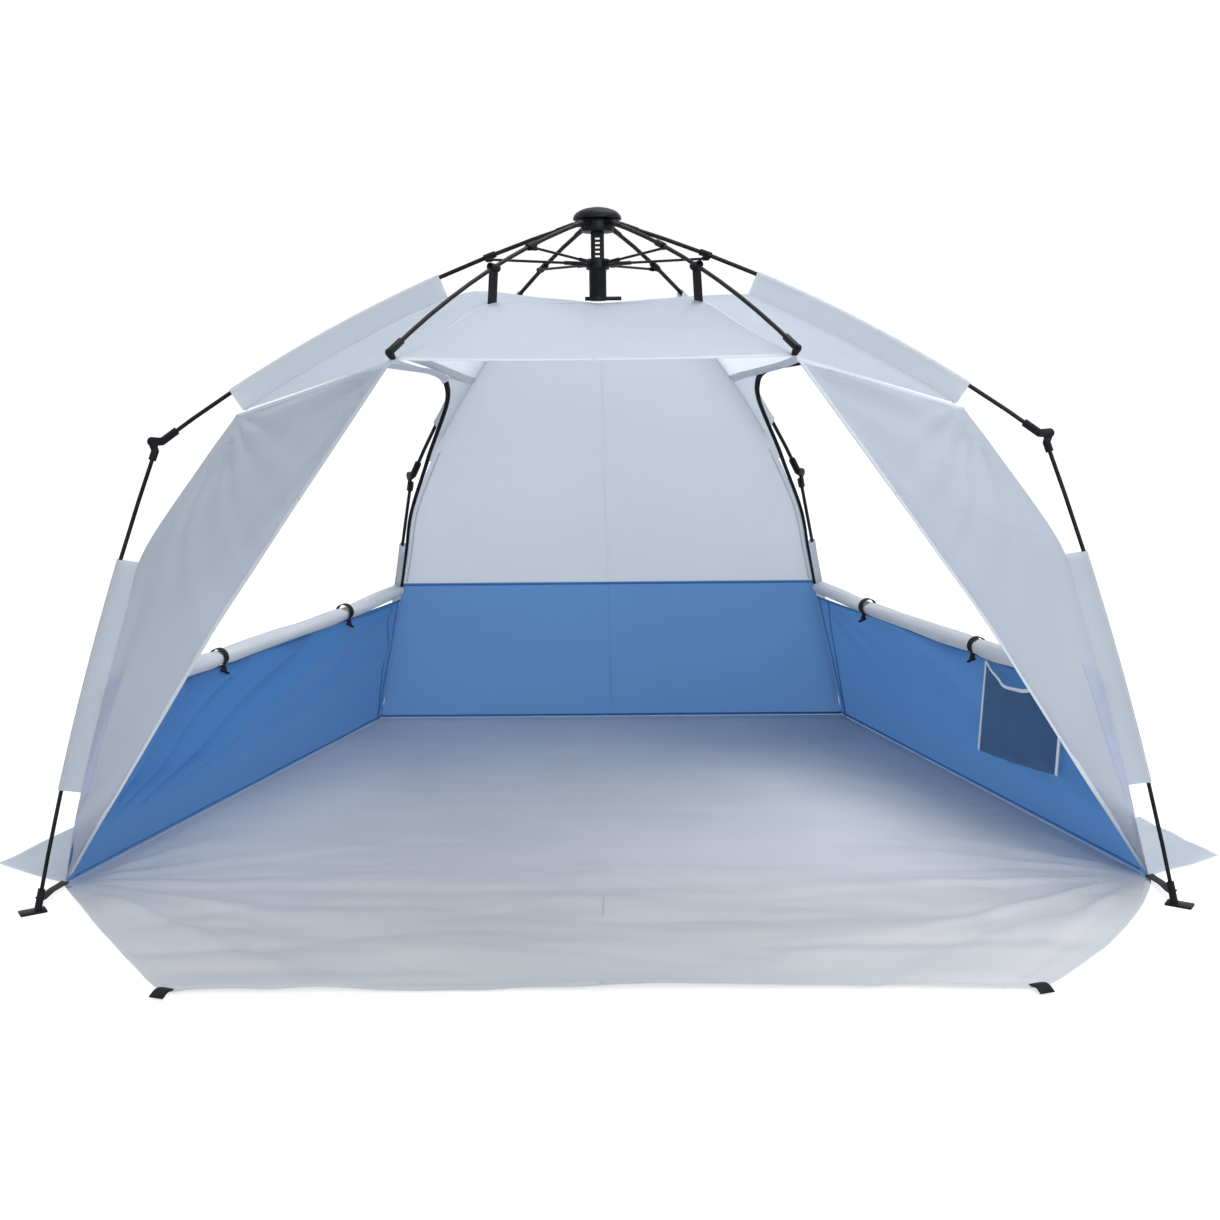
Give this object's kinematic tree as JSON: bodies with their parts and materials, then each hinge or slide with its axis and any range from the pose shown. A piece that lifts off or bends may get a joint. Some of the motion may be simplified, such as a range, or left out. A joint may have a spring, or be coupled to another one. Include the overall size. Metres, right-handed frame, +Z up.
{
  "type": "beach tent",
  "caption": "Folding beach tent on an umbrella hub: arched ribs, hinged legs, open front, side windows, groundsheet with porch.",
  "frame": {"origin": "on the ground at the middle of the tent's bounding box", "axes": "+X across the tent to its right seen from the open front, +Y from the open front to the back, +Z up"},
  "size_m": [2.7688, 1.9948, 1.4599],
  "materials": {
    "black_plastic": "satin moulded nylon",
    "coated_pole": "satin black glass-fibre rod",
    "silver_cloth": "thin silver-coated polyester with a soft sheen",
    "blue_cloth": "thin plain-woven polyester",
    "floor_cloth": "coated plain-woven groundsheet"
  },
  "bodies": {
    "hub": {"hub_cap": "black_plastic", "hub_body": "black_plastic"},
    "runner": {"runner": "black_plastic", "runner_handle": "black_plastic"},
    "right_arm": {"right_rib": "coated_pole", "right_strut_clamp": "black_plastic", "right_upper_knee": "black_plastic", "roof_right": "silver_cloth", "upper_wing_right": "silver_cloth"},
    "left_arm": {"left_rib": "coated_pole", "left_strut_clamp": "black_plastic", "left_upper_knee": "black_plastic", "roof_left": "silver_cloth", "upper_wing_left": "silver_cloth"},
    "front_right_arm": {"front_right_rib": "coated_pole", "front_right_strut_clamp": "black_plastic", "front_right_corner_fitting": "black_plastic", "awning_right": "silver_cloth"},
    "front_left_arm": {"front_left_rib": "coated_pole", "front_left_strut_clamp": "black_plastic", "front_left_corner_fitting": "black_plastic", "awning_left": "silver_cloth"},
    "back_right_arm": {"back_right_rib": "coated_pole", "back_right_strut_clamp": "black_plastic", "back_right_upper_knee": "black_plastic", "back_panel_right": "silver_cloth"},
    "back_left_arm": {"back_left_rib": "coated_pole", "back_left_strut_clamp": "black_plastic", "back_left_upper_knee": "black_plastic", "back_panel_left": "silver_cloth"},
    "right_strut": {"right_strut": "coated_pole"},
    "left_strut": {"left_strut": "coated_pole"},
    "front_right_strut": {"front_right_strut": "coated_pole"},
    "front_left_strut": {"front_left_strut": "coated_pole"},
    "back_right_strut": {"back_right_strut": "coated_pole"},
    "back_left_strut": {"back_left_strut": "coated_pole"},
    "right_leg": {"right_lower_knee": "black_plastic", "right_leg_pole": "coated_pole", "right_foot": "black_plastic", "lower_wing_right": "silver_cloth", "side_wall_right": "blue_cloth", "window_roll_right": "silver_cloth"},
    "left_leg": {"left_lower_knee": "black_plastic", "left_leg_pole": "coated_pole", "left_foot": "black_plastic", "lower_wing_left": "silver_cloth", "side_wall_left": "blue_cloth", "window_roll_left": "silver_cloth"},
    "back_right_leg": {"back_right_lower_knee": "black_plastic", "back_right_leg_pole": "coated_pole", "back_right_foot": "black_plastic", "back_band_right": "blue_cloth"},
    "back_left_leg": {"back_left_lower_knee": "black_plastic", "back_left_leg_pole": "coated_pole", "back_left_foot": "black_plastic", "back_band_left": "blue_cloth"},
    "right_floor": {"floor_right": "floor_cloth", "sand_flap_right": "floor_cloth"},
    "left_floor": {"floor_left": "floor_cloth", "sand_flap_left": "floor_cloth"}
  },
  "joints": [
    {"name": "left_rib_fold", "type": "hinge", "parent": "hub", "child": "left_arm", "pos_m": [-0.042, -0.33782, 1.425], "axis": [0, -0.9876, 0.1573], "range_deg": [0, 58], "deforming": ["roof_left", "upper_wing_left"]},
    {"name": "right_rib_fold", "type": "hinge", "parent": "hub", "child": "right_arm", "pos_m": [0.042, -0.33782, 1.425], "axis": [0, 0.9876, -0.1573], "range_deg": [0, 58.1], "deforming": ["roof_right", "upper_wing_right"]},
    {"name": "front_right_rib_fold", "type": "hinge", "parent": "hub", "child": "front_right_arm", "pos_m": [0.02409, -0.3718, 1.43041], "axis": [0.8191, 0.5664, -0.0902], "range_deg": [0, 58.1], "deforming": ["awning_right"]},
    {"name": "front_left_rib_fold", "type": "hinge", "parent": "hub", "child": "front_left_arm", "pos_m": [-0.02409, -0.3718, 1.43041], "axis": [0.8191, -0.5664, 0.0902], "range_deg": [0, 58.1], "deforming": ["awning_left"]},
    {"name": "back_right_rib_fold", "type": "hinge", "parent": "hub", "child": "back_right_arm", "pos_m": [0.02287, -0.30304, 1.41946], "axis": [-0.8387, 0.5379, -0.0857], "range_deg": [0, 58.1], "deforming": ["back_panel_right"]},
    {"name": "back_left_rib_fold", "type": "hinge", "parent": "hub", "child": "back_left_arm", "pos_m": [-0.02287, -0.30304, 1.41946], "axis": [-0.8387, -0.5379, 0.0857], "range_deg": [0, 58.1], "deforming": ["back_panel_left"]},
    {"name": "runner_slide", "type": "slide", "parent": "hub", "child": "runner", "axis": [0, -0.1573, -0.9876], "range_m": [0, 0.306]},
    {"name": "right_strut_fold", "type": "hinge", "parent": "runner", "child": "right_strut", "pos_m": [0.034, -0.35072, 1.34402], "axis": [0, -0.9876, 0.1573], "range_deg": [0, 73.8]},
    {"name": "left_strut_fold", "type": "hinge", "parent": "runner", "child": "left_strut", "pos_m": [-0.034, -0.35072, 1.34402], "axis": [0, 0.9876, -0.1573], "range_deg": [0, 73.8]},
    {"name": "front_right_strut_fold", "type": "hinge", "parent": "runner", "child": "front_right_strut", "pos_m": [0.0195, -0.37822, 1.3484], "axis": [-0.8191, -0.5664, 0.0902], "range_deg": [0, 73.8]},
    {"name": "front_left_strut_fold", "type": "hinge", "parent": "runner", "child": "front_left_strut", "pos_m": [-0.0195, -0.37822, 1.3484], "axis": [-0.8191, 0.5664, -0.0902], "range_deg": [0, 73.8]},
    {"name": "back_right_strut_fold", "type": "hinge", "parent": "runner", "child": "back_right_strut", "pos_m": [0.01852, -0.32256, 1.33954], "axis": [0.8387, -0.5379, 0.0857], "range_deg": [0, 73.8]},
    {"name": "back_left_strut_fold", "type": "hinge", "parent": "runner", "child": "back_left_strut", "pos_m": [-0.01852, -0.32256, 1.33954], "axis": [0.8387, 0.5379, -0.0857], "range_deg": [0, 73.8]},
    {"name": "right_knee_fold", "type": "hinge", "parent": "right_arm", "child": "right_leg", "pos_m": [0.94135, -0.4075, 0.98753], "axis": [0, -0.9876, 0.1573], "range_deg": [0, 219.5], "deforming": ["lower_wing_right", "side_wall_right", "window_roll_right"]},
    {"name": "left_knee_fold", "type": "hinge", "parent": "left_arm", "child": "left_leg", "pos_m": [-0.94135, -0.4075, 0.98753], "axis": [0, 0.9876, -0.1573], "range_deg": [0, 219.5], "deforming": ["lower_wing_left", "side_wall_left", "window_roll_left"]},
    {"name": "back_right_knee_fold", "type": "hinge", "parent": "back_right_arm", "child": "back_right_leg", "pos_m": [0.48852, 0.32416, 0.79872], "axis": [0.8822, -0.4709, -0.0072], "range_deg": [0, 183.4], "deforming": ["back_band_right"]},
    {"name": "back_left_knee_fold", "type": "hinge", "parent": "back_left_arm", "child": "back_left_leg", "pos_m": [-0.48852, 0.32416, 0.79872], "axis": [0.8822, 0.4709, 0.0072], "range_deg": [0, 183.4], "deforming": ["back_band_left"]},
    {"name": "right_floor_fold", "type": "hinge", "parent": "right_leg", "child": "right_floor", "pos_m": [1.21217, -0.5648, 0.003], "axis": [0, 0.9876, -0.1573], "range_deg": [0, 70.1], "deforming": ["floor_right", "sand_flap_right"]},
    {"name": "left_floor_fold", "type": "hinge", "parent": "left_leg", "child": "left_floor", "pos_m": [-1.21217, -0.5648, 0.003], "axis": [0, -0.9876, 0.1573], "range_deg": [0, 70.1], "deforming": ["floor_left", "sand_flap_left"]}
  ],
  "couplings": [
    {"joint": "right_rib_fold", "follows": "left_rib_fold", "ratio": 1},
    {"joint": "front_right_rib_fold", "follows": "left_rib_fold", "ratio": 1},
    {"joint": "front_left_rib_fold", "follows": "left_rib_fold", "ratio": 1},
    {"joint": "back_right_rib_fold", "follows": "left_rib_fold", "ratio": 1},
    {"joint": "back_left_rib_fold", "follows": "left_rib_fold", "ratio": 1},
    {"joint": "runner_slide", "follows": "left_rib_fold", "m_per_rad": 0.302},
    {"joint": "right_strut_fold", "follows": "left_rib_fold", "ratio": 1.27},
    {"joint": "left_strut_fold", "follows": "left_rib_fold", "ratio": 1.27},
    {"joint": "front_right_strut_fold", "follows": "left_rib_fold", "ratio": 1.27},
    {"joint": "front_left_strut_fold", "follows": "left_rib_fold", "ratio": 1.27},
    {"joint": "back_right_strut_fold", "follows": "left_rib_fold", "ratio": 1.27},
    {"joint": "back_left_strut_fold", "follows": "left_rib_fold", "ratio": 1.27},
    {"joint": "right_knee_fold", "follows": "left_rib_fold", "ratio": 3.7818},
    {"joint": "left_knee_fold", "follows": "left_rib_fold", "ratio": 3.7818},
    {"joint": "back_right_knee_fold", "follows": "left_rib_fold", "ratio": 3.1599},
    {"joint": "back_left_knee_fold", "follows": "left_rib_fold", "ratio": 3.1599},
    {"joint": "right_floor_fold", "follows": "left_rib_fold", "ratio": 1.2069},
    {"joint": "left_floor_fold", "follows": "left_rib_fold", "ratio": 1.2069}
  ]
}
